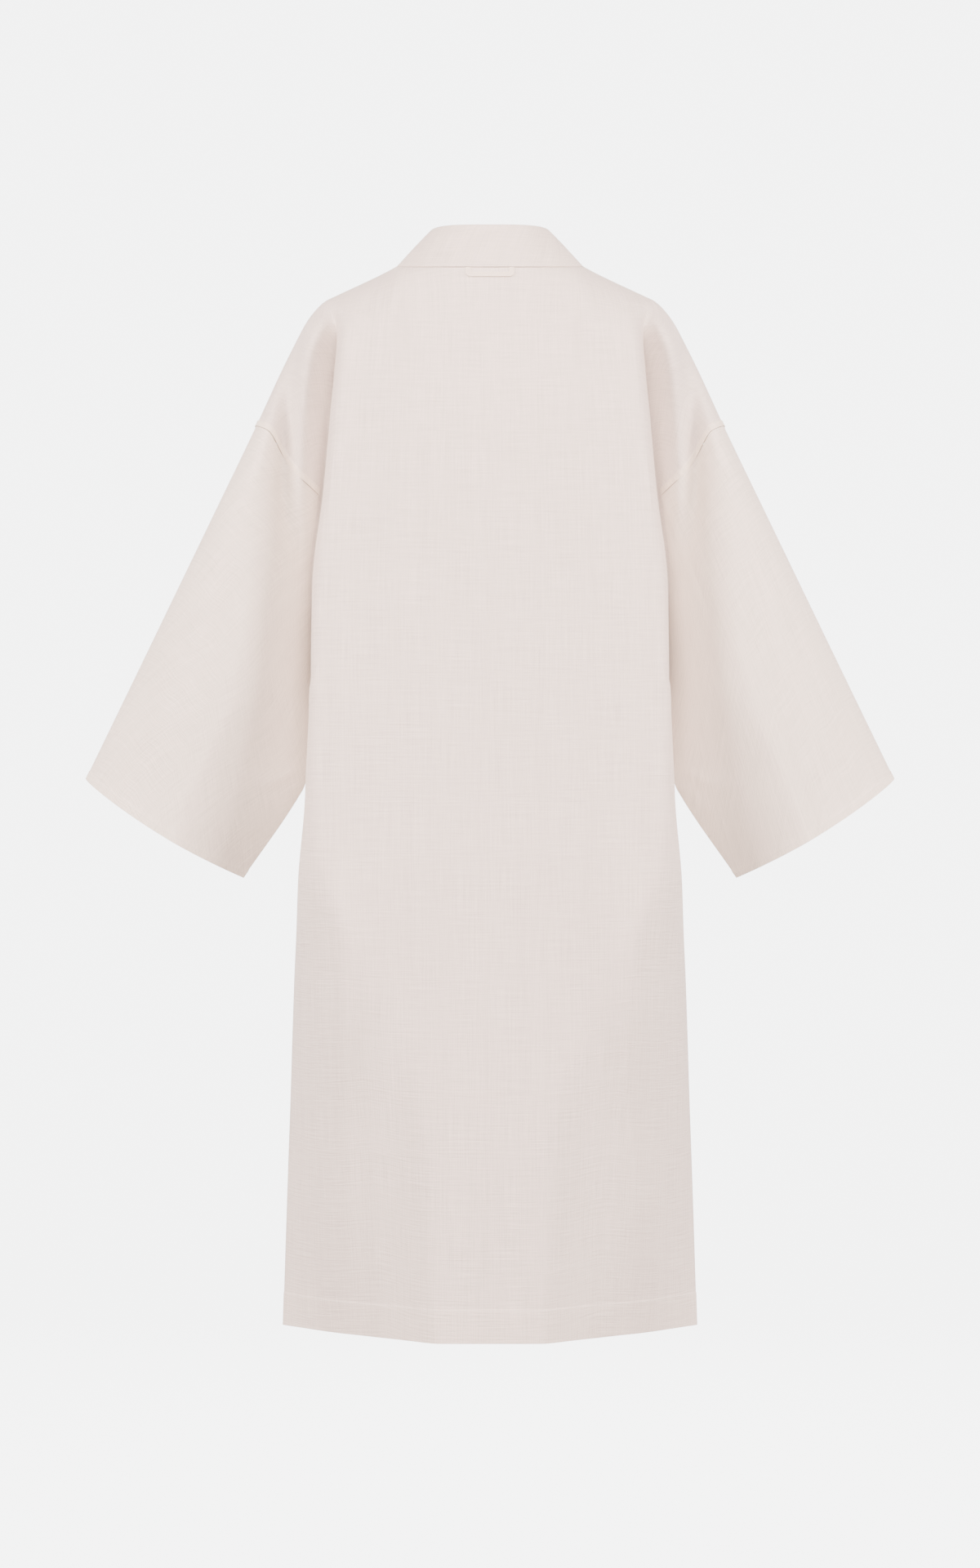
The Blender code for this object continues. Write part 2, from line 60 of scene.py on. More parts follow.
NECK_HALF = 98.7
NECK_DEPTH = 75.0
NECK_DIP = 11.5
NECK_CORNER = 2.6
SHOULDER_FALL = 0.463
SHOULDER_DIP = 1.6
SHOULDER_DIP_RUN = 12.0
SHOULDER_ROUND = 24.0
SWELL = 5.0
SWELL_X = 215.0
SWELL_WIDTH = 26.0
SHOULDER_ROLL = 80.0
NAPE_RUN = 180.0
BACK_KNEE = 150.0
CUFF_TOP_X = 431.2
CUFF_TOP_Z = -546.3
ARM_FALL = 2.055
ARMHOLE_TOP_X = 249.5
UNDERARM = -440.0
ARMHOLE_FOOT = 95.0
ARMHOLE_KNEE = -246.0
TROUGH_FLOOR = 2.5
TROUGH_ROUND = 6.0
TROUGH_FADE = 100.0
TROUGH_SHALLOW = 30.0
SEAM_STEP = 3.0
STEP_FADE = 190.0
HEM = -1130.0
HEM_TURN = 35.0
HEM_RISE = 0.45
HEM_SHADE = 0.15
FELL_RISE = 1.1
FELL_WIDTH = 7.0
FELL_FOOT = -262.0
FELL_FADE = 24.0
STEP_RUN = 1.2
SHARP_ANGLE = 50.0
MERGE = 1e-6
TINY = 1e-9
UPRIGHT = np.array([0, 0, 1])

# The grid: columns from the middle to the neck point, to the folded edge, down the wall of the deep fold
# and round to the seam; rows over the armhole and below it; and the last steps before a seam, in from its
# edge.
FINE = 768
SMOOTH_ROUNDS = 768
SLOPE_REACH = 20.0
TOP_FADE_POWER = 1.5
NECK_COLUMNS = 14
KNEE_COLUMNS = 12
FRONT_COLUMNS = 28
WALL_COLUMNS = 30
TURN_COLUMNS = 26
ARMHOLE_ROWS = 96
SKIRT_ROWS = 92
SKIRT_SPACING = 1.2
TROUGH_START = 0.083
TROUGH_SHARE = 0.75
SEAM_STEPS = (9.0, 8.0, 7.4, 6.8, 6.2, 4.0, 2.0, 0.8)
SEAM_ROOM = 1.6
SAME_PLACE = 0.01
HEM_STEPS = (36.4, 35.6, 34.8, 34.0, 28.0, 21.0, 14.0, 8.0, 4.0, 1.5, 0.0)

# The body at each height: where its folded edge runs, the side seam, how far the side bulges past that
# seam, and for the back and the front their depth, the half-width of the flat part and how square the side
# is.
Level = namedtuple("Level", "z edge side bulge back back_flat back_square front front_flat front_square")
BODY = [Level(*row) for row in (
    (0, 150, 230, 0, 92, 145, 2.0, 82, 125, 2.0),
    (-40, 151, 206, 0, 97, 146, 2.0, 92, 130, 2.0),
    (-50, 150.5, 188, 0, 98, 146, 2.0, 94, 131, 2.0),
    (-60, 150.5, 173, 0, 100, 146, 2.0, 96, 132, 2.0),
    (-72, 151, 165.5, 0, 102, 147, 2.0, 99, 133, 2.0),
    (-86, 153, 163.5, 0, 104, 149, 2.0, 101, 135, 2.0),
    (-100, 155, 164, 0, 106, 150, 2.0, 103, 137, 2.0),
    (-168, 161, 170, 0, 113, 156, 2.0, 112, 143, 2.0),
    (-246, 168, 177, 0, 117, 164, 2.0, 118, 150, 2.0),
    (-340, 178, 188, 0, 119, 175, 2.0, 121, 158, 2.0),
    (-440, 183, 189, 0, 120, 180, 2.0, 122, 164, 2.0),
    (-446, 183.2, 184, 7, 120, 180, 2.0, 122, 164, 2.0),
    (-454, 183.3, 182, 11, 120, 180, 2.0, 122, 164, 2.0),
    (-480, 183.5, 180.5, 14, 120, 179.5, 2.0, 122, 164, 2.0),
    (-560, 183, 183, 17.5, 120, 178, 2.0, 122, 161, 2.0),
    (-640, 178, 193.5, 17, 121, 168, 2.0, 122, 148, 2.0),
    (-760, 150, 207.5, 8, 121.5, 110, 1.8, 122, 105, 1.8),
    (-920, 125, 214, 3, 122.5, 64, 1.4, 122.5, 75, 1.5),
    (-1130, 110, 221, 0, 123.4, 56, 1.06, 123, 60, 1.15),
)]

# The shoulder and sleeve at each height: where the fall to the inner side starts, the depth of the crest,
# the roll at the outline, the depth at the armhole's bottom fold, and how late the fall to it steepens.
Arm = namedtuple("Arm", "z crest depth roll inner late")
ARM = [Arm(*row) for row in (
    (-40, 212, 62, 40, 60, 1.4),
    (-62, 202, 68, 36, 57, 1.4),
    (-100, 214, 75, 32, 46, 1.4),
    (-168, 244, 77, 28, 36, 1.4),
    (-246, 254, 77, 30, 30, 1.5),
    (-340, 257, 77, 44, 22, 1.6),
    (-440, 266, 75, 72, 20, 1.6),
    (-560, 316, 67, 92, 30, 1.35),
    (-660, 350, 62, 92, 30, 1.3),
)]

# Seams in the view from behind: the armhole from the shoulder line to the deep fold, the underarm seam, and
# the front edges of the front panels from the neck point to the hem.
Place = namedtuple("Place", "x z")
ARMHOLE = [Place(*row) for row in ((231, -182), (219, -206), (210, -217), (199, -231))]
UNDERARM_SEAM = [Place(*row) for row in (
    (189, -440), (189.5, -446), (190, -458), (191, -505), (194, -532), (198.5, -554), (204.5, -565),
    (264, -652), (296.6, -700),
)]
OPENING = [Place(*row) for row in (
    (98.7, 0), (96, -20), (90, -60), (83, -120), (75, -200), (64, -350), (65, -600), (70, -1130),
)]

# Folds and creases: the side they are on, part of the garment, height, half-width, and the run from top to
# foot.
Fold = namedtuple("Fold", "side part rise width top_x top_z foot_x foot_z bow")
FOLDS = [Fold(*row) for row in (
    ("back", "arm", 13, 13, 179, -50, 196, -310, 8),
    ("back", "arm", -17, 12, 198, -55, 204, -330, 16),
    ("front", "arm", 10, 14, 184, -55, 203, -300, 9),
    ("front", "arm", -9, 12, 202, -60, 226, -310, 9),
    ("back", "body", 13, 30, 152, -600, 170, -1190, 0),
    ("back", "body", -8, 26, 96, -620, 92, -1190, 0),
    ("front", "body", 11, 28, 153, -590, 172, -1190, 0),
    ("front", "body", -5, 24, 108, -600, 112, -1190, 0),
    ("back", "body", 1.4, 15, 70, -300, 58, -760, 5),
    ("back", "body", -1.1, 12, 118, -210, 126, -600, -4),
    ("back", "body", 1.0, 11, 36, -640, 30, -1180, 3),
    ("back", "body", 0.8, 14, 96, -40, 120, -230, 8),
    ("back", "body", -1.3, 13, 128, -760, 134, -1185, 0),
    ("front", "body", 1.5, 14, 92, -240, 100, -700, 4),
    ("front", "body", -1.2, 12, 132, -200, 128, -560, -3),
    ("front", "body", 1.1, 12, 86, -640, 90, -1180, 2),
    ("back", "arm", 1.9, 17, 292, -330, 336, -640, 5),
    ("back", "arm", -1.5, 13, 258, -420, 292, -660, 4),
    ("back", "arm", 1.2, 12, 330, -350, 372, -600, -3),
    ("front", "arm", 2.1, 16, 284, -300, 330, -640, 6),
    ("front", "arm", -1.6, 14, 252, -400, 286, -650, 3),
    ("back", "arm", 2.2, 9, 196, -531, 236, -556, 2),
    ("back", "arm", -1.8, 8, 197, -541, 232, -568, 1),
    ("back", "arm", 1.4, 8, 200, -552, 240, -590, 1),
    ("front", "arm", 2.0, 9, 197, -528, 238, -560, 2),
    ("front", "arm", -1.6, 9, 199, -543, 236, -578, 1),
)]
FOLD_START = {"arm": 0.15, "body": 0.35}
FOLD_END = 0.35
FOLD_FADE = 40.0


def read(table, name, at):
    """Read a column of a table at any height, on a smooth run that never overshoots its rows."""
    rows = sorted(table, key=lambda row: row.z)
    height = np.array([row.z for row in rows], float)
    value = np.array([getattr(row, name) for row in rows], float)
    step = np.diff(height)
    slope = np.diff(value) / step
    tangent = np.zeros(len(value))
    for i in range(1, len(value) - 1):
        if slope[i - 1] * slope[i] > 0:
            near = 2 * step[i] + step[i - 1]
            far = step[i] + 2 * step[i - 1]
            tangent[i] = (near + far) / (near / slope[i - 1] + far / slope[i])
    tangent[0] = slope[0]
    tangent[-1] = slope[-1]
    at = np.clip(np.asarray(at, float), height[0], height[-1])
    i = np.clip(np.searchsorted(height, at) - 1, 0, len(step) - 1)
    t = (at - height[i]) / step[i]
    rise = value[i + 1] - value[i]
    start = tangent[i] * step[i]
    end = tangent[i + 1] * step[i]
    return value[i] + t * (start + t * (3 * rise - 2 * start - end + t * (start + end - 2 * rise)))


def soft_max(a, b, reach):
    """The larger of two values, rounded where they meet."""
    near = np.clip(reach - np.abs(a - b), 0, None)
    return np.maximum(a, b) + near * near / (4 * np.maximum(reach, TINY))


def quarter(share):
    """Height of a quarter circle over its share of the way in."""
    share = np.clip(share, 0, 1)
    return np.sqrt(share * (2 - share))


def ease(share):
    share = np.clip(share, 0, 1)
    return share * share * (3 - 2 * share)


def neckline(x):
    """How far the back neckline lies behind the side neck points."""
    share = np.clip(np.abs(x) / NECK_HALF, 0, 1)
    return NECK_DEPTH * np.sqrt(1 - share ** NECK_CORNER)


def outline(x):
    """Height of the shoulder line and then of the sleeve's top edge, seen from behind."""
    run = np.clip(x - NECK_HALF, 0, None)
    shoulder = SHOULDER_FALL * run + SHOULDER_DIP * (1 - np.exp(-run / SHOULDER_DIP_RUN))
    arm = -CUFF_TOP_Z - ARM_FALL * (CUFF_TOP_X - x)
    swell = SWELL * np.exp(-((x - SWELL_X) / SWELL_WIDTH) ** 2)
    return swell - soft_max(shoulder, arm, SHOULDER_ROUND)


def top_edge(side, x):
    return outline(x) - (NECK_DIP * neckline(x) / NECK_DEPTH if side == "back" else 0)


def inset(side, x, z):
    """Distance in from the top outline."""
    slope = (outline(x + SLOPE_REACH) - outline(x - SLOPE_REACH)) / (2 * SLOPE_REACH)
    return np.clip(top_edge(side, x) - z, 0, None) / np.sqrt(1 + slope * slope)


def folds(side, part, x, z):
    """Height of the soft folds of one part of the garment."""
    total = np.zeros(np.broadcast(x, z).shape)
    for fold in FOLDS:
        if (fold.side, fold.part) != (side, part):
            continue
        t = (z - fold.top_z) / (fold.foot_z - fold.top_z)
        middle = fold.top_x + t * (fold.foot_x - fold.top_x) + fold.bow * 4 * t * (1 - t)
        ends = ease(t / FOLD_START[part]) * ease((1 - t) / FOLD_END)
        total = total + fold.rise * ends * np.exp(-((x - middle) / fold.width) ** 2)
    return total


def body_depth(side, x, z):
    """Depth of the body of the garment, from its flat part over the folded edge to the side."""
    full = read(BODY, side, z)
    flat = read(BODY, side + "_flat", z)
    square = read(BODY, side + "_square", z)
    half = read(BODY, "side", z) + read(BODY, "bulge", z)
    share = np.clip((x - flat) / (half - flat), 0, 1)
    full = full * (1 - share ** square) ** (1 / square)
    full = full + folds(side, "body", x, z) * np.clip(full / FOLD_FADE, 0, 1)
    rolled_in = quarter(inset(side, x, z) / SHOULDER_ROLL)
    if side == "front":
        return full * rolled_in
    nape = np.clip(inset(side, x, z) / NAPE_RUN, 0, 1)
    nape = nape * (2 - nape)
    over = np.clip(np.abs(x) / NECK_HALF, 0, 1) ** 2
    start = neckline(x)
    return start + (full - start) * (over * rolled_in + (1 - over) * nape)


def fold_foot(side, z):
    """Depth and place of the armhole where it runs down inside the deep fold, round at its foot."""
    deep = read(ARM, "inner", z) * ease((z - UNDERARM) / ARMHOLE_FOOT)
    flat = read(BODY, side + "_flat", z)
    square = read(BODY, side + "_square", z)
    half = read(BODY, "side", z)
    share = (1 - (deep / read(BODY, side, z)) ** square) ** (1 / square)
    floor = TROUGH_FLOOR * ease((z - UNDERARM) / ARMHOLE_FOOT)
    return deep, flat + (half - flat) * share + floor


def arm_depth(side, x, z):
    """Depth of the shoulder end and the sleeve: round at the outline, falling to the inner side."""
    deep, inner = fold_foot(side, z)
    inner = np.where(z < UNDERARM, read(UNDERARM_SEAM, "x", z), inner)
    crest = read(ARM, "crest", z)
    full = read(ARM, "depth", z)
    share = np.clip((crest - x) / (crest - inner), 0, 1)
    full = full - (full - deep) * share ** read(ARM, "late", z)
    full = full + folds(side, "arm", x, z) * np.clip(full / FOLD_FADE, 0, 1)
    return full * quarter(inset(side, x, z) / read(ARM, "roll", z))


def depth(side, part, x, z):
    """Depth of the cloth on one side; above the underarm the body and the sleeve run into each other."""
    body = body_depth(side, x, z)
    arm = arm_depth(side, x, z)
    own = body if part == "body" else arm
    reach = TROUGH_ROUND * np.clip((z - UNDERARM) / TROUGH_FADE, 0, 1)
    reach = reach * np.clip(np.maximum(body, arm) / TROUGH_SHALLOW, 0, 1)
    return np.where(z > UNDERARM, soft_max(body, arm, reach), own)


def cloth_points(side, part, x, z):
    """Points in the middle of the cloth for places in the view from behind."""
    x = np.asarray(x, float)
    z = np.asarray(z, float)
    y = depth(side, part, x, z)
    if part == "body":
        share = np.clip(1 - y / read(BODY, side, z), 0, 1)
        x = x - read(BODY, "bulge", z) * share ** 2
    return np.stack([x, y if side == "back" else -y, z], axis=-1)


def length_along(points):
    return np.concatenate([[0], np.cumsum(np.linalg.norm(np.diff(points, axis=0), axis=1))])


def taken(points, places, carried):
    """What a line of close points carries at some distances along it."""
    run = length_along(points)
    return np.stack([np.interp(places, run, carried[:, k]) for k in range(carried.shape[1])], axis=-1)


def spread(points, count, carried):
    """What a line of close points carries at even distances along it."""
    return taken(points, np.linspace(0, length_along(points)[-1], count + 1), carried)


def seam_place(side, z):
    """Where the armhole seam runs down, just past the deep fold on its sleeve side."""
    return fold_foot(side, z)[1] + SEAM_STEP * ease((z - UNDERARM) / STEP_FADE)


def armhole(side):
    """The armhole seam from the shoulder line down to the underarm, as close points in the view."""
    drop = np.sin(np.linspace(0, np.pi / 2, FINE))
    low = ARMHOLE_KNEE + (UNDERARM - ARMHOLE_KNEE) * drop
    shoulder = Place(ARMHOLE_TOP_X, float(outline(ARMHOLE_TOP_X)))
    upper = [shoulder] + ARMHOLE + [Place(float(seam_place(side, ARMHOLE_KNEE)), ARMHOLE_KNEE)]
    corner = np.linspace(0, len(upper) - 1, FINE)
    x = np.interp(corner, range(len(upper)), [place.x for place in upper])
    z = np.interp(corner, range(len(upper)), [place.z for place in upper])
    for _ in range(SMOOTH_ROUNDS):
        x[1:-1] = (x[:-2] + 2 * x[1:-1] + x[2:]) / 4
        z[1:-1] = (z[:-2] + 2 * z[1:-1] + z[2:]) / 4
    x = np.concatenate([x[:-1], seam_place(side, low)])
    z = np.concatenate([z[:-1], low])
    return spread(cloth_points(side, "body", x, z), FINE, np.stack([x, z], axis=-1))


def rolled(start, radius, share):
    """Height after a share of the way from the shoulder line, over its round, down to the underarm."""
    round_run = radius * np.pi / 2
    run = share * (round_run + start - radius - UNDERARM)
    if run < round_run:
        return start - radius * (1 - np.cos(run / radius))
    return start - radius - (run - round_run)


def row_knots(side, share, level, seam):
    """The places that a row of a panel passes: middle, neck point, folded edge and seam."""
    if level is None:
        middle = -NECK_DIP + (UNDERARM + NECK_DIP) * share
        neck = rolled(0, SHOULDER_ROLL, share)
        edge = rolled(float(outline(BACK_KNEE)), SHOULDER_ROLL, share)
        end = seam[int(round(share * FINE))]
    else:
        middle = neck = edge = level
        end = (float(read(BODY, "side", edge) + read(BODY, "bulge", edge)), edge)
    edge_x = float(read(BODY, "edge", edge))
    knots = [(edge_x, edge), tuple(end)]
    if side == "front":
        return [(float(read(OPENING, "x", neck)), neck)] + knots
    return [(0, middle), (NECK_HALF * min(edge_x / BACK_KNEE, 1), neck)] + knots


def spread_by_trough(side, share, x, z, points):
    """Places from the folded edge to the seam, with one line along the bottom of the deep fold."""
    carried = np.stack([x, z], axis=-1)
    run = length_along(points)
    bottom = fold_foot(side, z)[1] - TROUGH_FLOOR / 2
    split = run[np.argmin(np.abs(x - bottom))] / run[-1]
    even = WALL_COLUMNS / (WALL_COLUMNS + TURN_COLUMNS)
    limit = 1 - (1 - even) * ease((share - TROUGH_START) / TROUGH_SHARE)
    split = (even if share >= 1 else min(split, limit)) * run[-1]
    close = np.array(SEAM_STEPS) * min(1, (run[-1] - split) / (SEAM_ROOM * SEAM_STEPS[0]))
    wall = np.linspace(0, split, WALL_COLUMNS + 1)
    turn = np.linspace(split, run[-1] - close[0], TURN_COLUMNS - len(close) + 1)
    places = np.concatenate([wall, turn[1:], run[-1] - close[1:], run[-1:]])
    return taken(points, places, carried)


def half_panel(side):
    """Rows of points of the left half of a panel, from its top edge to the hem."""
    seam = armhole(side)
    spans = [FRONT_COLUMNS, None] if side == "front" else [NECK_COLUMNS, KNEE_COLUMNS, None]
    above = [(share, None) for share in np.linspace(0, 1, ARMHOLE_ROWS + 1)]
    down = np.linspace(0, 1, SKIRT_ROWS + 1)[1:-1] ** SKIRT_SPACING
    below = [(1, UNDERARM + (HEM + HEM_STEPS[0] - UNDERARM) * level) for level in down]
    hem = [(1, HEM + step) for step in HEM_STEPS]
    first = row_knots(side, 0, None, seam)
    t = np.linspace(0, 1, FINE + 1)
    rows = []
    for share, level in above + below + hem:
        knots = row_knots(side, share, level, seam)
        fade = (1 - share) ** TOP_FADE_POWER
        line = []
        for k, columns in enumerate(spans):
            x = knots[k][0] + t * (knots[k + 1][0] - knots[k][0])
            z = knots[k][1] + t * (knots[k + 1][1] - knots[k][1])
            top_x = first[k][0] + t * (first[k + 1][0] - first[k][0])
            top_z = first[k][1] + t * (first[k + 1][1] - first[k][1])
            z = z + fade * (top_edge(side, top_x) - top_z)
            points = cloth_points(side, "body", x, z)
            if columns is None:
                places = spread_by_trough(side, share, x, z, points)
            else:
                places = spread(points, columns, np.stack([x, z], axis=-1))
            line.append(places[(1 if k else 0):])
        places = np.concatenate(line)
        rows.append(cloth_points(side, "body", places[:, 0], places[:, 1]))
    return np.array(rows)


def mirrored(grid):
    """The right-hand twin of a left-hand grid."""
    return grid[:, ::-1] * np.array([-1, 1, 1])


def unit(vectors):
    return vectors / np.maximum(np.linalg.norm(vectors, axis=-1, keepdims=True), TINY)


def outward(grid, axis):
    """Unit normals at the points of a grid, away from an axis."""
    across = grid[:-1, 1:] - grid[1:, :-1]
    down = grid[1:, 1:] - grid[:-1, :-1]
    face = np.cross(across, down)
    total = np.zeros(grid.shape)
    rows, columns = grid.shape[:2]
    for i in (0, 1):
        for j in (0, 1):
            total[i:rows - 1 + i, j:columns - 1 + j] += face
    if np.allclose(grid[:, 0], grid[:, -1], atol=SAME_PLACE):
        total[:, 0] = total[:, -1] = total[:, 0] + total[:, -1]
    normals = unit(total)
    return normals * np.sign(np.sum(normals * (grid - axis)))


def turned_hem(grid, normals, seam_ends):
    """The hem's turned-up layer and the felled seam allowance, as a slight step out of the cloth and a
    paler tone.
    """
    step = HEM_RISE * ease((HEM + HEM_TURN + STEP_RUN / 2 - grid[..., 2]) / STEP_RUN)
    double = step / HEM_RISE * HEM_SHADE
    for end in seam_ends:
        line = grid[:ARMHOLE_ROWS + 1]
        to_seam = np.linalg.norm(np.diff(line, axis=1), axis=-1)
        if end == "last":
            run = np.cumsum(to_seam[:, ::-1], axis=1)[:, ::-1]
            run = np.concatenate([run, np.zeros((len(run), 1))], axis=1)
        else:
            run = np.concatenate([np.zeros((len(to_seam), 1)), np.cumsum(to_seam, axis=1)], axis=1)
        fade = ease((line[..., -1 if end == "last" else 0, 2] - FELL_FOOT) / FELL_FADE)[:, None]
        felled = fade * ease((FELL_WIDTH + STEP_RUN / 2 - run) / STEP_RUN)
        step[:ARMHOLE_ROWS + 1] += FELL_RISE * felled
        # The felled allowance takes the whole paler tone, far more than the hem. It lies double, and the
        # tone is also painted highlight along its ridge.
        double[:ARMHOLE_ROWS + 1] += felled
    return grid + normals * step[..., None], np.clip(double, 0, 1)


def weave_places(grid, level_row):
    """Where each point lies in the flat cloth, in metres: across, and down from a level row."""
    across = np.linalg.norm(np.diff(grid, axis=1), axis=-1).cumsum(axis=1)
    across = np.concatenate([np.zeros((len(grid), 1)), across], axis=1)
    down = np.linalg.norm(np.diff(grid, axis=0), axis=-1).cumsum(axis=0)
    down = np.concatenate([np.zeros((1, grid.shape[1])), down], axis=0)
    return np.stack([across, down - down[level_row]], axis=-1) * MM


def drawn_back(grid, edges):
    """The grid with its sewn edges moved in by half the gap of a seam."""
    lines = {
        "top": (np.s_[0, :], np.s_[1, :]),
        "first": (np.s_[:, 0], np.s_[:, 1]),
        "last": (np.s_[:, -1], np.s_[:, -2]),
    }
    moved = grid.copy()
    for name in edges:
        edge, inside = lines[name]
        moved[edge] += unit(grid[inside] - grid[edge]) * SEAM_GAP / 2
    return moved


def laid_grid(points, uv):
    """A grid with its corners at the points, numbered, and with their places in the flat cloth."""
    rows, columns = points.shape[:2]
    points = (points * MM).reshape(-1, 3)
    flat = uv.reshape(-1, 2)
    bm = bmesh.new()
    bmesh.ops.create_grid(bm, x_segments=columns - 1, y_segments=rows - 1, size=1)
    place = bm.verts.layers.int.new("place")
    weave = bm.loops.layers.uv.new("weave")
    for i, vert in enumerate(bm.verts):
        vert[place] = i
        vert.co = points[i]
    for face in bm.faces:
        for loop in face.loops:
            loop[weave].uv = flat[loop.vert[place]]
    return bm


def finished(name, bm, material, smooth):
    """An object of the mesh, with one material, flat or else smooth between its sharp edges."""
    mesh = bpy.data.meshes.new(name)
    bm.to_mesh(mesh)
    bm.free()
    if smooth:
        mesh.shade_smooth()
        mesh.set_sharp_from_angle(angle=math.radians(SHARP_ANGLE))
    mesh.materials.append(material)
    piece = bpy.data.objects.new(name, mesh)
    bpy.context.collection.objects.link(piece)
    return piece


def cloth_mesh(name, grid, normals, wall, uv, double, material):
    """A thin closed sheet: a grid moved to its places, then given its wall by extruding."""
    bm = laid_grid(grid - normals * wall / 2, uv)
    outer = ((grid + normals * wall / 2) * MM).reshape(-1, 3)
    # The share of the paler tone at each point: for double cloth, and on the felled seams also painted
    # highlight.
    doubled = bm.verts.layers.float.new("double")
    for vert, layers in zip(bm.verts, double.ravel()):
        vert[doubled] = layers
    bmesh.ops.remove_doubles(bm, verts=bm.verts, dist=MERGE)
    grown = bmesh.ops.extrude_face_region(bm, geom=bm.faces[:], use_keep_orig=True)["geom"]
    place = bm.verts.layers.int["place"]
    for vert in grown:
        if isinstance(vert, bmesh.types.BMVert):
            vert.co = outer[vert[place]]
    bmesh.ops.recalc_face_normals(bm, faces=bm.faces)
    return finished(name, bm, material, True)


# Threads, slubs, patches and streaks of the weave: how many of them lie in a metre across and along the
# cloth, and the detail of their noise.
Threads = namedtuple("Threads", "across along detail")
FINE_WARP = Threads(1100, 60, 2)
FINE_WEFT = Threads(70, 1000, 2)
SLUB_WARP = Threads(520, 16, 1)
SLUB_WEFT = Threads(20, 480, 1)
PATCHES = Threads(28, 24, 2)
STREAKS = Threads(70, 2.2, 1)
PATCH_STRENGTH = 3.2
STREAK_STRENGTH = 0.7
CONTRAST = 0.10
RELIEF = 0.5
# Paler tint where the cloth lies double; on the felled seams the same tint is also painted highlight.
DOUBLE_AND_HIGHLIGHT_TINT = (1.15, 1.15, 1.08)

# The colour sockets of a mix node, which share their names with its sockets for numbers.
MIX_A = 6
MIX_B = 7
MIX_RESULT = 2


def weave_group():
    """Uneven warp and weft threads: a lightness that varies along each thread, and their height."""
    group = bpy.data.node_groups.new("linen_weave", "ShaderNodeTree")
    for name, kind, way in (
        ("Place", "NodeSocketVector", "INPUT"), ("Colour", "NodeSocketColor", "INPUT"),
        ("Double Colour", "NodeSocketColor", "INPUT"), ("Double", "NodeSocketFloat", "INPUT"),
        ("Contrast", "NodeSocketFloat", "INPUT"),
        ("Colour", "NodeSocketColor", "OUTPUT"), ("Height", "NodeSocketFloat", "OUTPUT"),
    ):
        group.interface.new_socket(name, in_out=way, socket_type=kind)
    nodes = group.nodes
    links = group.links
    start = nodes.new("NodeGroupInput")
    end = nodes.new("NodeGroupOutput")

    def noise_of(threads):
        stretch = nodes.new("ShaderNodeMapping")
        stretch.inputs["Scale"].default_value = (threads.across, threads.along, 1)
        links.new(start.outputs["Place"], stretch.inputs["Vector"])
        noise = nodes.new("ShaderNodeTexNoise")
        noise.noise_dimensions = "2D"
        noise.inputs["Scale"].default_value = 1
        noise.inputs["Detail"].default_value = threads.detail
        links.new(stretch.outputs["Vector"], noise.inputs["Vector"])
        return noise.outputs["Fac"]

    def maths(operation, *values):
        node = nodes.new("ShaderNodeMath")
        node.operation = operation
        for socket, value in zip(node.inputs, values):
            if isinstance(value, (int, float)):
                socket.default_value = value
            else:
                links.new(value, socket)
        return node.outputs[0]

    fine = maths("ADD", noise_of(FINE_WARP), noise_of(FINE_WEFT))
    slubs = maths("ADD", noise_of(SLUB_WARP), noise_of(SLUB_WEFT))
    patches = maths("MULTIPLY", noise_of(PATCHES), PATCH_STRENGTH)
    slubs = maths("MULTIPLY", maths("SUBTRACT", slubs, 1), patches)
    streaks = maths("MULTIPLY", maths("SUBTRACT", noise_of(STREAKS), 0.5), STREAK_STRENGTH)
    total = maths("ADD", maths("ADD", maths("SUBTRACT", fine, 1), slubs), streaks)
    # The paler colour mixed in where the cloth lies double; on the felled seams it is also painted
    # highlight.
    layers = nodes.new("ShaderNodeMix")
    layers.data_type = "RGBA"
    links.new(start.outputs["Double"], layers.inputs["Factor"])
    links.new(start.outputs["Colour"], layers.inputs[MIX_A])
    links.new(start.outputs["Double Colour"], layers.inputs[MIX_B])
    shade = nodes.new("ShaderNodeVectorMath")
    shade.operation = "SCALE"
    links.new(layers.outputs[MIX_RESULT], shade.inputs[0])
    links.new(maths("MULTIPLY_ADD", total, start.outputs["Contrast"], 1), shade.inputs["Scale"])
    links.new(shade.outputs[0], end.inputs["Colour"])
    links.new(total, end.inputs["Height"])
    return group


linen_weave = weave_group()


def linen(name, colour):
    """Linen of one colour, with its weave and a paler tone where the cloth lies double and along the
    painted highlight of the fells.
    """
    material = bpy.data.materials.new(name)
    material.use_nodes = True
    nodes = material.node_tree.nodes
    links = material.node_tree.links
    shader = nodes["Principled BSDF"]
    shader.inputs["Roughness"].default_value = 0.9
    shader.inputs["Specular IOR Level"].default_value = 0.25
    place = nodes.new("ShaderNodeUVMap")
    place.uv_map = "weave"
    weave = nodes.new("ShaderNodeGroup")
    weave.node_tree = linen_weave
    weave.inputs["Colour"].default_value = (*colour, 1)
    paler = [part * tint for part, tint in zip(colour, DOUBLE_AND_HIGHLIGHT_TINT)]
    weave.inputs["Double Colour"].default_value = (*paler, 1)
    weave.inputs["Contrast"].default_value = CONTRAST
    double = nodes.new("ShaderNodeAttribute")
    double.attribute_name = "double"
    links.new(double.outputs["Fac"], weave.inputs["Double"])
    bump = nodes.new("ShaderNodeBump")
    bump.inputs["Strength"].default_value = RELIEF
    bump.inputs["Distance"].default_value = 0.0004
    links.new(place.outputs["UV"], weave.inputs["Place"])
    links.new(weave.outputs["Colour"], shader.inputs["Base Color"])
    links.new(weave.outputs["Height"], bump.inputs["Height"])
    links.new(bump.outputs["Normal"], shader.inputs["Normal"])
    return material


body_linen = linen("linen_body", (0.80, 0.73, 0.68))

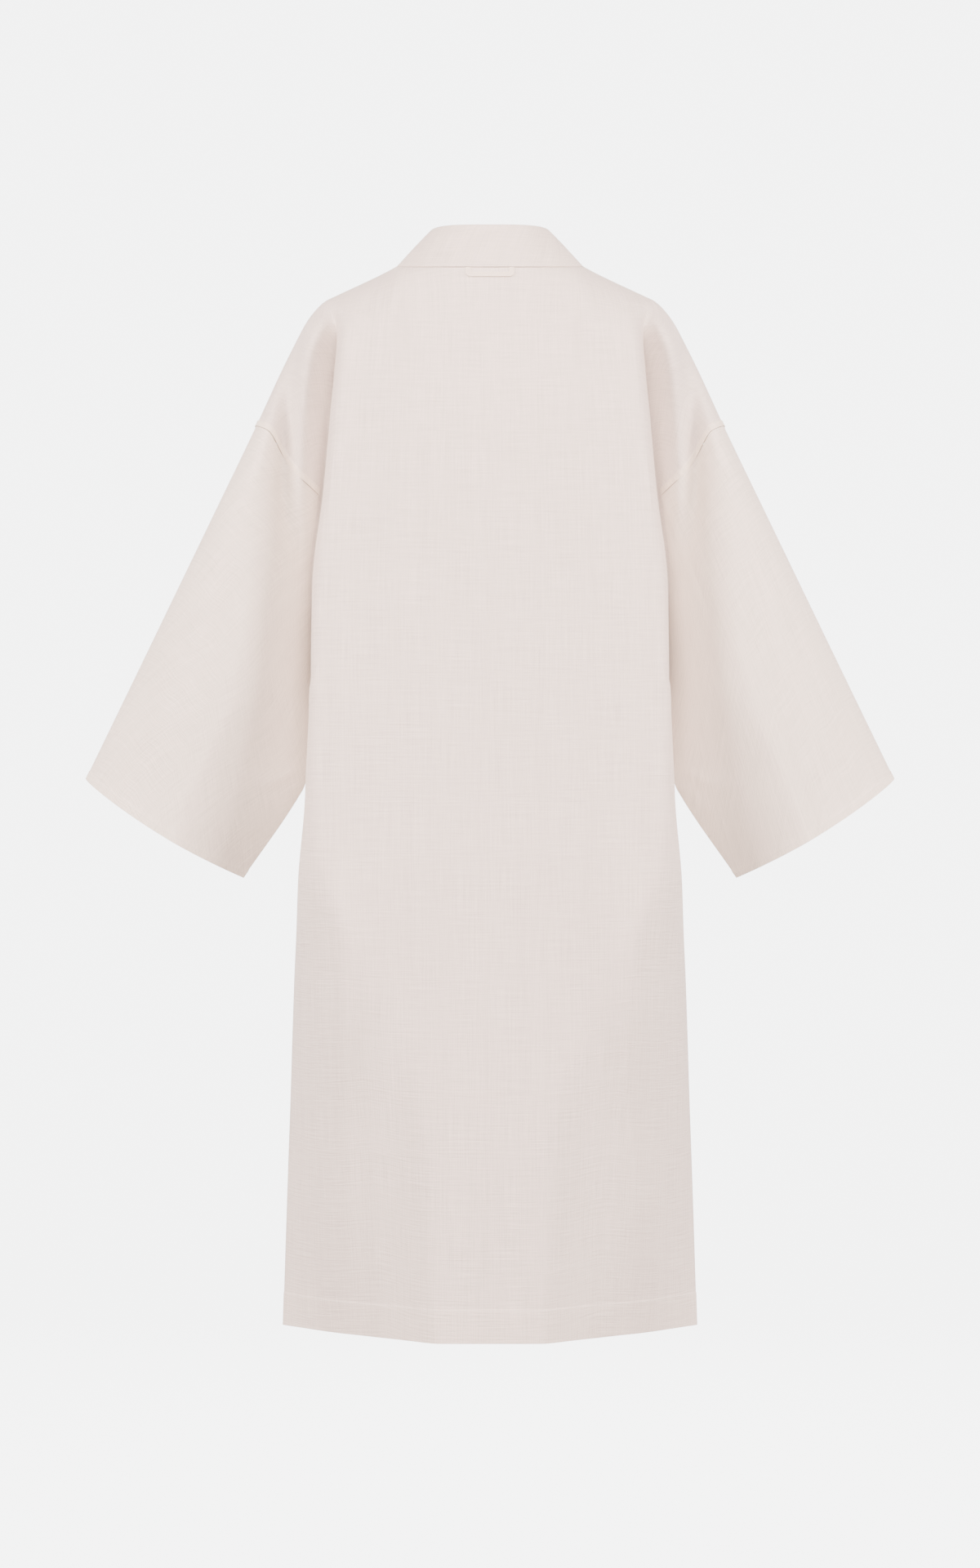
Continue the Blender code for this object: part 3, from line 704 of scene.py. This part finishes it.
left_back = half_panel("back")
back_grid = np.concatenate([mirrored(left_back), left_back[:, 1:]], axis=1)
back_normals = outward(back_grid, back_grid * UPRIGHT)
# The paler tone of the double hem and the felled seams; on the fells it is also painted highlight of their
# ridge.
back_grid, back_double_and_highlight = turned_hem(back_grid, back_normals, ("first", "last"))
back_uv = weave_places(back_grid, ARMHOLE_ROWS)
back_uv[..., 0] -= back_uv[:, back_uv.shape[1] // 2, 0][:, None]
back_edges = drawn_back(back_grid, ("top", "first", "last"))
back = cloth_mesh("back_linen", back_edges, back_normals, CLOTH, back_uv, back_double_and_highlight, body_linen)
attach(back, "root")
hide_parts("back")


# Front panels
#
# Two widths of the same linen, open down the middle. Each runs from the shoulder seam to the hem and its
# inner edge is sewn into the band. They hang a few centimetres apart, with the same folds as the back.

left_front = half_panel("front")[:, ::-1]
fronts = {}
for name, grid, seam_end in (
    ("front_left", left_front, "first"), ("front_right", mirrored(left_front), "last"),
):
    normals = outward(grid, grid * UPRIGHT)
    # As on the back, the paler tone on the felled seam is also painted highlight of its ridge.
    grid, double = turned_hem(grid, normals, (seam_end,))
    uv = weave_places(grid, ARMHOLE_ROWS)
    edges = drawn_back(grid, ("top", "first", "last"))
    piece = cloth_mesh(name + "_linen", edges, normals, CLOTH, uv, double, body_linen)
    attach(piece, "root")
    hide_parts(name)
    fronts[name] = (piece, grid, normals)


# Sleeves
#
# Wide straight sleeves of the same linen, set flat into the dropped armhole and sewn along the underarm.
# The sleeve's seam allowance is folded under the body's. The cuff is turned up and stitched near its edge.

CUFF_SAG = 4.5
CUFF_TURN = 9.0
CUFF_UNDER_Z = UNDERARM_SEAM[-2].z
SLEEVE_ROWS = 104
SLEEVE_SPACING = 1.1
CUFF_STEPS = (11.0, 9.6, 9.0, 8.4, 6.0, 3.0, 1.2, 0.0)

sleeve_linen = linen("linen_sleeve", (0.87, 0.805, 0.73))


def half_sleeve(side):
    """Rings of points of one side of the left sleeve, from its top edge to its underarm seam."""
    seam = armhole(side)
    t = np.linspace(0, 1, FINE + 1)
    bend = seam - (seam[0] + t[:, None] * (seam[-1] - seam[0]))
    under_z = np.linspace(UNDERARM, CUFF_UNDER_Z, FINE + 1)
    under = np.stack([read(UNDERARM_SEAM, "x", under_z), under_z], axis=-1)
    under = spread(under, FINE, under)
    length = math.hypot(CUFF_TOP_X - seam[0][0], float(outline(CUFF_TOP_X)) - seam[0][1])
    shares = list(np.linspace(0, 1, SLEEVE_ROWS + 1)[:-1] ** SLEEVE_SPACING * (1 - CUFF_STEPS[0] / length))
    shares += [1 - step / length for step in CUFF_STEPS]
    rings = []
    for s in shares:
        top_x = seam[0][0] + s * (CUFF_TOP_X - seam[0][0])
        top = np.array([top_x, float(outline(top_x))])
        foot = under[int(round(s * FINE))]
        line = top + t[:, None] * (foot - top) + (1 - s) ** 2 * bend
        across = (foot - top) / np.linalg.norm(foot - top)
        down = np.array([-across[1], across[0]])
        line = line + s * CUFF_SAG * (4 * t * (1 - t))[:, None] * down
        ring = cloth_points(side, "arm", line[:, 0], line[:, 1])
        if s == 0:
            rings.append(ring[::FINE // ARMHOLE_ROWS])
        else:
            places = spread(ring, ARMHOLE_ROWS, line)
            rings.append(cloth_points(side, "arm", places[:, 0], places[:, 1]))
    return np.array(rings)


left_sleeve = np.concatenate([half_sleeve("front"), half_sleeve("back")[:, ::-1][:, 1:]], axis=1)
sleeves = {}
for name, grid in (("sleeve_left", left_sleeve), ("sleeve_right", mirrored(left_sleeve))):
    axis = np.broadcast_to(grid.mean(axis=1, keepdims=True), grid.shape)
    normals = outward(grid, axis)
    edge = np.linalg.norm(np.diff(grid, axis=0), axis=-1)[::-1].cumsum(axis=0)[::-1]
    edge = np.concatenate([edge, np.zeros((1, grid.shape[1]))])
    double = ease((CUFF_TURN + STEP_RUN / 2 - edge) / STEP_RUN)
    grid = grid + normals * HEM_RISE * double[..., None]
    uv = weave_places(grid, 0)
    edges = drawn_back(grid, ("top",))
    piece = cloth_mesh(name + "_linen", edges, normals, CLOTH, uv, double * HEM_SHADE, sleeve_linen)
    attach(piece, "root")
    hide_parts(name)
    sleeves[name] = (piece, grid, normals)


# Collar band
#
# One long strip of linen folded in half, about 5 cm wide, that stands round the back neck and runs down
# both front edges to the hem. Its layers hold the raw edges of the panels between them, and the inner one
# reaches a little past the seam. Its fold is soft.

BAND_WALL = 3.0
BAND_BULGE = 0.6
BAND_NOSE = 0.05
BAND_OPEN = 0.5
BAND_UNDER = 2.5
BAND_FLAP = 0.8
BAND_SHARE_X = 0.618
BAND_SHARE_Y = 0.747
BAND_TOP_BACK = 36.7
BAND_TOP_SIDE = 39.0
BAND_COLUMNS = 12
NOSE_COLUMNS = 5

# The free edge of the band in front: from each point of the front seam, across, forward and up to it.
Lie = namedtuple("Lie", "z across forward up")
BAND_FRONT = [Lie(*row) for row in (
    (0, 37.7, 0, 39), (-20, 44, -8, 24), (-60, 48.5, -3, 11), (-120, 50, 0, 5), (-200, 50, 1, 3),
    (-350, 50, 1, 1), (-1130, 50, 0.5, 0),
)]

band_linen = linen("linen_band", (0.81, 0.735, 0.675))


def band_lines(back_half, front_half):
    """The sewn edge and the free edge of the band, from the left hem over the nape to the right hem."""
    up = front_half[::-1, -1]
    nape = back_half[0, :NECK_COLUMNS][::-1]
    across, forward, rise = (read(BAND_FRONT, name, up[:, 2]) for name in ("across", "forward", "up"))
    up_free = up + np.stack([-across, -forward, rise], axis=-1)
    top = BAND_TOP_BACK + (BAND_TOP_SIDE - BAND_TOP_BACK) * (nape[:, 0] / NECK_HALF) ** 2
    nape_free = np.stack([nape[:, 0] * BAND_SHARE_X, nape[:, 1] * BAND_SHARE_Y, top], axis=-1)
    seam = np.concatenate([up, nape])
    free = np.concatenate([up_free, nape_free])
    left = np.stack([seam, free])
    return np.concatenate([left, mirrored(left)[:, 1:]], axis=1)


band_seam, band_free = band_lines(left_back, left_front)
flat_share = np.linspace(0, 1 - BAND_NOSE, BAND_COLUMNS)
nose_turn = np.linspace(0, math.pi / 2, NOSE_COLUMNS + 1)[1:]
band_share = np.concatenate([flat_share, 1 - BAND_NOSE * (1 - np.sin(nose_turn))])
band_half = np.concatenate([np.ones(BAND_COLUMNS), np.cos(nose_turn)])
band_middle = band_seam + band_share[:, None, None] * (band_free - band_seam)
band_normals = outward(band_middle, band_middle * UPRIGHT)
band_arch = BAND_BULGE * 4 * band_share * (1 - band_share)
band_middle = band_middle + band_normals * band_arch[:, None, None]
band_width = unit(band_free - band_seam)
band_middle[0] = band_middle[0] + band_width * BAND_OPEN
band_uv = weave_places(band_middle, 0)


def folded_strip(name, middle, normals, half, wall, under, flap, uv, material):
    """A folded strip: its outer layer up to the fold, its inner layer back past the seam, and its foot."""
    outer = middle + normals * (half * wall / 2)[:, None, None]
    inner = middle - normals * (half * wall / 2)[:, None, None]
    root = inner[:1] + normals[:1] * flap
    inner[0] += under
    turns = np.concatenate([outer, inner[::-1][1:], root + under, root, outer[:1]])
    flat = np.concatenate([uv, uv[::-1][1:], uv[:1], uv[:1], uv[:1]])
    bm = laid_grid(turns, flat)
    bmesh.ops.remove_doubles(bm, verts=bm.verts, dist=MERGE)
    bmesh.ops.holes_fill(bm, edges=[edge for edge in bm.edges if edge.is_boundary], sides=0)
    bmesh.ops.recalc_face_normals(bm, faces=bm.faces)
    return finished(name, bm, material, True)


band = folded_strip(
    "collar_band_linen", band_middle, band_normals, band_half, BAND_WALL, -band_width * BAND_UNDER,
    BAND_FLAP, band_uv, band_linen,
)
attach(band, "root")
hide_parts("collar_band")


# Hanger loop
#
# A narrow strip of the same linen, folded and pressed flat. Its two ends are caught in the back neck seam
# and it lies on the back panel just under the band, with soft corners.

LOOP_HALF = 25.2
LOOP_DROP = 10.2
LOOP_WIDTH = 5.0
LOOP_CORNER = 2.6
LOOP_CLOTH = 1.0
LOOP_LIFT = (0.9, 2.0)
LOOP_STEPS = 6
LOOP_ROWS = 5
LOOP_SHADE = 0.7


def loop_line():
    """The middle line of the loop in the view from behind: across, and down from the neck seam."""
    half = LOOP_HALF - LOOP_WIDTH / 2
    low = LOOP_DROP - LOOP_WIDTH / 2
    turn = np.linspace(0, math.pi / 2, LOOP_STEPS + 1)
    corner_x = half - LOOP_CORNER * (1 - np.cos(turn))
    corner_z = low - LOOP_CORNER * (1 - np.sin(turn))
    side_z = np.linspace(0, low - LOOP_CORNER, LOOP_STEPS + 1)[:-1]
    foot_x = np.linspace(half - LOOP_CORNER, 0, 2 * LOOP_STEPS + 1)[1:]
    side = np.stack([np.full(LOOP_STEPS, half), side_z], axis=-1)
    bend = np.stack([corner_x, corner_z], axis=-1)
    foot = np.stack([foot_x, np.full(2 * LOOP_STEPS, low)], axis=-1)
    left = np.concatenate([side, bend, foot])
    return np.concatenate([left, left[::-1][1:] * np.array([-1, 1])])


loop_path = loop_line()
loop_way = unit(np.gradient(loop_path, axis=0))
loop_side = np.stack([-loop_way[:, 1], loop_way[:, 0]], axis=-1)
loop_rows = []
for across in np.linspace(-LOOP_WIDTH / 2, LOOP_WIDTH / 2, LOOP_ROWS):
    places = loop_path + loop_side * across
    x = places[:, 0]
    z = top_edge("back", np.abs(x)) - np.maximum(places[:, 1], 0)
    points = cloth_points("back", "body", np.abs(x), z)
    points[:, 0] = x
    loop_rows.append(points)
loop_grid = np.array(loop_rows)
loop_normals = outward(loop_grid, loop_grid * UPRIGHT)
loop_lift = LOOP_LIFT[0] + (LOOP_LIFT[1] - LOOP_LIFT[0]) * ease(loop_path[:, 1] / LOOP_DROP)
loop_grid = loop_grid + loop_normals * loop_lift[None, :, None]
hanger = cloth_mesh(
    "hanger_loop_linen", loop_grid, loop_normals, LOOP_CLOTH, weave_places(loop_grid, 0),
    np.full(loop_grid.shape[:2], LOOP_SHADE), band_linen,
)
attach(hanger, "root")
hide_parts("hanger_loop")


# Machine stitching
#
# Single rows in a thread of the cloth's colour: round the hem at the top of its turned layer, round the
# cuffs, beside the armholes on the felled seam, and along the band just past its seam.

HEM_STITCH = 34.0
CUFF_STITCH = 8.4
STITCH = 2.3
STITCH_PITCH = 3.1
STITCH_WIDTH = 0.5
STITCH_HEIGHT = 0.3
FELL_STITCH = 5.6
BAND_STITCH = 3.5
NECK_STITCH = 4.5
NECK_ROWS = 8

thread = bpy.data.materials.new("sewing_thread")
thread.use_nodes = True
thread_shader = thread.node_tree.nodes["Principled BSDF"]
thread_shader.inputs["Base Color"].default_value = (0.80, 0.76, 0.71, 1)
thread_shader.inputs["Roughness"].default_value = 0.6


def stitch_row(bm, line, normals, lift):
    """One small bar of thread after another along a line that lies on the cloth."""
    run = length_along(line)
    places = np.arange(STITCH_PITCH / 2, run[-1] - STITCH_PITCH / 2, STITCH_PITCH)
    middle = taken(line, places, line)
    ahead = unit(taken(line, places + STITCH / 2, line) - taken(line, places - STITCH / 2, line))
    up = unit(taken(line, places, normals))
    for at, x_way, z_way in zip(middle + up * lift, ahead, up):
        x_way = Vector(x_way)
        y_way = Vector(z_way).cross(x_way).normalized()
        z_way = x_way.cross(y_way)
        turn = Matrix((x_way, y_way, z_way)).transposed().to_4x4()
        size = Matrix.Diagonal((STITCH * MM, STITCH_WIDTH * MM, STITCH_HEIGHT * MM, 1))
        bmesh.ops.create_cube(bm, size=1, matrix=Matrix.Translation(Vector(at * MM)) @ turn @ size)


def at_distance(grid, normals, distance, end):
    """For each row of a grid, the point and normal at a distance in from one of its ends."""
    if end == "last":
        grid, normals = grid[:, ::-1], normals[:, ::-1]
    points = []
    ways = []
    for row, row_normals in zip(grid, normals):
        points.append(taken(row, [distance], row)[0])
        ways.append(taken(row, [distance], row_normals)[0])
    return np.array(points), np.array(ways)


def stitching(name, rows):
    """All the stitch rows that lie on one piece, as one object."""
    bm = bmesh.new()
    for line, normals, lift in rows:
        stitch_row(bm, line, normals, lift)
    piece = finished(name, bm, thread, False)
    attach(piece, "root")
    return piece


ON_CLOTH = CLOTH / 2
hem_row = len(left_back) - len(HEM_STEPS) + HEM_STEPS.index(HEM_STITCH)
cuff_row = len(left_sleeve) - len(CUFF_STEPS) + CUFF_STEPS.index(CUFF_STITCH)

back_rows = [(back_grid[hem_row], back_normals[hem_row], ON_CLOTH)]
for end in ("first", "last"):
    line, ways = at_distance(back_grid[:ARMHOLE_ROWS], back_normals[:ARMHOLE_ROWS], FELL_STITCH, end)
    back_rows.append((line, ways, ON_CLOTH))
beside_neck = WALL_COLUMNS + TURN_COLUMNS + KNEE_COLUMNS
under_neck = np.s_[:NECK_ROWS, beside_neck:-beside_neck]
neck_line, neck_ways = at_distance(
    back_grid[under_neck].transpose(1, 0, 2), back_normals[under_neck].transpose(1, 0, 2),
    NECK_STITCH, "first",
)
back_rows.append((neck_line, neck_ways, ON_CLOTH))
back_stitches = stitching("back_stitches", back_rows)

for name, seam_end in (("front_left", "first"), ("front_right", "last")):
    piece, grid, normals = fronts[name]
    line, ways = at_distance(grid[:ARMHOLE_ROWS], normals[:ARMHOLE_ROWS], FELL_STITCH, seam_end)
    rows = [(grid[hem_row], normals[hem_row], ON_CLOTH), (line, ways, ON_CLOTH)]
    stitches = stitching(name + "_stitches", rows)

for name in sleeves:
    piece, grid, normals = sleeves[name]
    stitches = stitching(name + "_stitches", [(grid[cuff_row], normals[cuff_row], ON_CLOTH)])

band_line, band_ways = at_distance(
    band_middle.transpose(1, 0, 2), band_normals.transpose(1, 0, 2), BAND_STITCH, "first"
)
band_stitches = stitching("collar_band_stitches", [(band_line, band_ways, BAND_WALL / 2)])


# Setting
#
# A plain pale sweep all round, with soft light from everywhere and four large soft lights: above, on both
# sides and in front. The camera stands straight behind the garment, level with its middle. These sizes are
# in metres.

SWEEP_RADIUS = 6.0
SWEEP_FLOOR = -1.75
SWEEP_TOP = 4.5
SWEEP_ROUND = 1.2
SWEEP_STEPS = 96
SWEEP_SIDES = 96
SWEEP_MERGE = 0.0001
CAMERA_DISTANCE = 3.6
CAMERA_HEIGHT = -0.552
HALF_VIEW = 0.83808
LIGHT_TINT = (1.24, 1.0, 0.91)
LIGHT_SIZE = 1.6
LIGHT_AIM = (0, 0, -0.45)
Lamp = namedtuple("Lamp", "name x y z power")
LAMPS = [Lamp(*row) for row in (
    ("light_above", 0, 2.9, 1.0, 140),
    ("light_left", 2.9, 1.95, 0.6, 230),
    ("light_right", -2.9, 1.95, 0.6, 230),
    ("light_front", 0, -3.2, 0.6, 230),
)]


def sweep_profile(share):
    """Distance from the middle and height, from the floor's middle, round the bend and up the wall."""
    floor = SWEEP_RADIUS - SWEEP_ROUND
    bend = SWEEP_ROUND * math.pi / 2
    wall = SWEEP_TOP - SWEEP_FLOOR - SWEEP_ROUND
    run = share * (floor + bend + wall)
    if run < floor:
        return run, SWEEP_FLOOR
    if run < floor + bend:
        turn = (run - floor) / SWEEP_ROUND
        rise = SWEEP_ROUND * (1 - math.cos(turn))
        return floor + SWEEP_ROUND * math.sin(turn), SWEEP_FLOOR + rise
    return SWEEP_RADIUS, SWEEP_FLOOR + SWEEP_ROUND + run - floor - bend


sweep_mesh = bpy.data.meshes.new("sweep")
bm = bmesh.new()
bmesh.ops.create_grid(bm, x_segments=SWEEP_SIDES, y_segments=SWEEP_STEPS, size=1)
for vert in bm.verts:
    turn = (vert.co.x + 1) * math.pi
    radius, z = sweep_profile((vert.co.y + 1) / 2)
    vert.co = (radius * math.cos(turn), radius * math.sin(turn), z)
bmesh.ops.remove_doubles(bm, verts=bm.verts, dist=SWEEP_MERGE)
bm.to_mesh(sweep_mesh)
bm.free()
sweep_mesh.shade_smooth()
paper = bpy.data.materials.new("backdrop_paper")
paper.use_nodes = True
paper_shader = paper.node_tree.nodes["Principled BSDF"]
paper_shader.inputs["Base Color"].default_value = (0.20, 0.25, 0.27, 1)
paper_shader.inputs["Roughness"].default_value = 1.0
paper_shader.inputs["Specular IOR Level"].default_value = 0.0
paper_shader.inputs["Emission Color"].default_value = (0.99, 1.0, 1.0, 1)
paper_shader.inputs["Emission Strength"].default_value = 5.74
sweep_mesh.materials.append(paper)
sweep = bpy.data.objects.new("sweep", sweep_mesh)
sweep.visible_diffuse = False
bpy.context.collection.objects.link(sweep)

world = bpy.data.worlds.new("soft_light")
world.use_nodes = True
world.node_tree.nodes["Background"].inputs["Color"].default_value = (*LIGHT_TINT, 1)
world.node_tree.nodes["Background"].inputs["Strength"].default_value = 0.42
bpy.context.scene.world = world

for row in LAMPS:
    lamp = bpy.data.lights.new(row.name, "AREA")
    lamp.shape = "SQUARE"
    lamp.size = LIGHT_SIZE
    lamp.energy = row.power
    lamp.color = LIGHT_TINT
    lamp_object = bpy.data.objects.new(row.name, lamp)
    place = Vector((row.x, row.y, row.z))
    lamp_object.location = place
    lamp_object.rotation_euler = (Vector(LIGHT_AIM) - place).to_track_quat("-Z", "Y").to_euler()
    lamp_object.visible_camera = False
    bpy.context.collection.objects.link(lamp_object)

camera = bpy.data.cameras.new("camera")
camera.sensor_fit = "VERTICAL"
camera.angle = 2 * math.atan(HALF_VIEW / CAMERA_DISTANCE)
camera.dof.use_dof = False
camera_object = bpy.data.objects.new("camera", camera)
camera_object.location = (0, CAMERA_DISTANCE, CAMERA_HEIGHT)
camera_object.rotation_euler = (math.pi / 2, 0, math.pi)
bpy.context.collection.objects.link(camera_object)
bpy.context.scene.camera = camera_object
